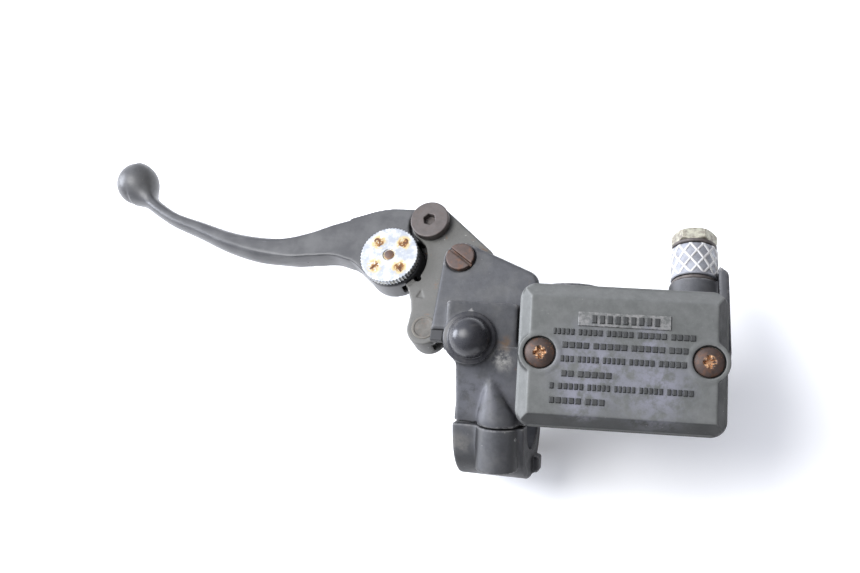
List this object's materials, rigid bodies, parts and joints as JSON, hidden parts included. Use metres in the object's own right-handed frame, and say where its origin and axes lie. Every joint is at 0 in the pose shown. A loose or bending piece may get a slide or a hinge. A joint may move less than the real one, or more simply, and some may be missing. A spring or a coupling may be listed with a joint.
{
  "type": "brake master cylinder",
  "caption": "Handlebar-mounted hydraulic master cylinder with a tilted fluid reservoir, clamp, outlet fitting and a ball-ended lever whose reach is set by a dial.",
  "frame": {"origin": "on the handlebar's axis, at the middle of the clamp's width", "axes": "+X along the handlebar towards the middle of the motorcycle and the outlet end, +Y forwards, +Z square to the lever's plane, on the reservoir lid's side"},
  "size_m": [0.2598, 0.12, 0.0833],
  "materials": {
    "body_paint": "semi-gloss black paint, worn and dusty",
    "lid_paint": "matt dark grey, weathered",
    "lever_paint": "satin black paint, polished by use",
    "knocker_metal": "matt dark grey, gritty",
    "rusty_steel": "rust-stained steel",
    "dark_steel": "dull dark steel",
    "bright_steel": "plain steel",
    "spring_steel": "drawn spring steel",
    "dial_zinc": "cast, satin, rust in the markings",
    "piston_alloy": "turned, gold anodised",
    "copper": "soft copper",
    "fitting_brass": "dull plated hexagon",
    "sleeve_mesh": "pale mesh over grey metal",
    "bush_bronze": "sintered bronze",
    "rubber": "black moulded rubber",
    "plug_rubber": "smooth black rubber",
    "tray_plastic": "cream moulded plastic",
    "window": "clear",
    "switch_plastic": "black moulded plastic",
    "plunger_plastic": "white moulded plastic",
    "contact_brass": "tinned brass"
  },
  "bodies": {
    "body": {"master_cylinder_body": "body_paint", "clamp_cap": "body_paint", "clamp_bolt_upper": "dark_steel", "clamp_bolt_lower": "dark_steel", "mirror_hole_plug": "plug_rubber", "reservoir_lid": "lid_paint", "lid_screw_left": "rusty_steel", "lid_screw_right": "rusty_steel", "diaphragm": "rubber", "diaphragm_plate": "tray_plastic", "port_guard": "bright_steel", "sight_glass": "window", "sight_glass_seal": "rubber", "crush_washer_inner": "copper", "crush_washer_outer": "copper", "outlet_sleeve": "sleeve_mesh", "banjo_bolt": "fitting_brass", "stop_washer": "bright_steel", "circlip": "dark_steel", "return_spring": "spring_steel", "dust_boot": "rubber", "pivot_screw": "rusty_steel", "pivot_nut": "dark_steel", "lever_switch": "switch_plastic", "switch_terminal_front": "contact_brass", "switch_terminal_rear": "contact_brass", "switch_screw": "bright_steel"},
    "piston": {"piston": "piston_alloy", "primary_cup": "rubber", "secondary_cup": "rubber", "spring_seat": "bright_steel"},
    "knocker": {"knocker": "knocker_metal", "pivot_bush": "bush_bronze", "pushrod_pin": "dark_steel", "blade_bolt": "dark_steel", "blade_nut": "dark_steel"},
    "pushrod": {"pushrod": "bright_steel"},
    "blade": {"lever_blade": "lever_paint", "dial_spring_washer": "spring_steel"},
    "dial": {"adjuster_dial": "dial_zinc", "adjuster_cam": "bright_steel", "dial_clip": "dark_steel"},
    "plunger": {"switch_plunger": "plunger_plastic"}
  },
  "joints": [
    {"name": "knocker_pivot", "type": "hinge", "parent": "body", "child": "knocker", "pos_m": [-0.017, 0.052, 0.015], "axis": [0, 0, 1], "range_deg": [0, 20], "stiffness_Nm_per_rad": 0.9, "springref_deg": -40.11},
    {"name": "blade_reach", "type": "hinge", "parent": "knocker", "child": "blade", "pos_m": [-0.032, 0.068, 0.015], "axis": [0, 0, 1], "range_deg": [-4.5, 0]},
    {"name": "dial_turn", "type": "hinge", "parent": "blade", "child": "dial", "pos_m": [-0.0454, 0.0522, 0.015], "axis": [0, 0, 1], "range_deg": [0, 270]},
    {"name": "piston_slide", "type": "slide", "parent": "body", "child": "piston", "axis": [1, 0, 0], "range_m": [0, 0.01], "deforming": ["return_spring", "dust_boot"]},
    {"name": "pushrod_swing", "type": "hinge", "parent": "knocker", "child": "pushrod", "pos_m": [-0.028, 0.025, 0.015], "axis": [0, 0, 1], "range_deg": [-16, 0]},
    {"name": "plunger_slide", "type": "slide", "parent": "body", "child": "plunger", "axis": [1, 0, 0], "range_m": [0, 0.0056]}
  ],
  "couplings": [
    {"joint": "piston_slide", "follows": "knocker_pivot", "m_per_rad": 0.02837},
    {"joint": "pushrod_swing", "follows": "knocker_pivot", "ratio": -0.76},
    {"joint": "plunger_slide", "follows": "knocker_pivot", "m_per_rad": 0.01536},
    {"joint": "blade_reach", "follows": "dial_turn", "ratio": -0.016667}
  ]
}
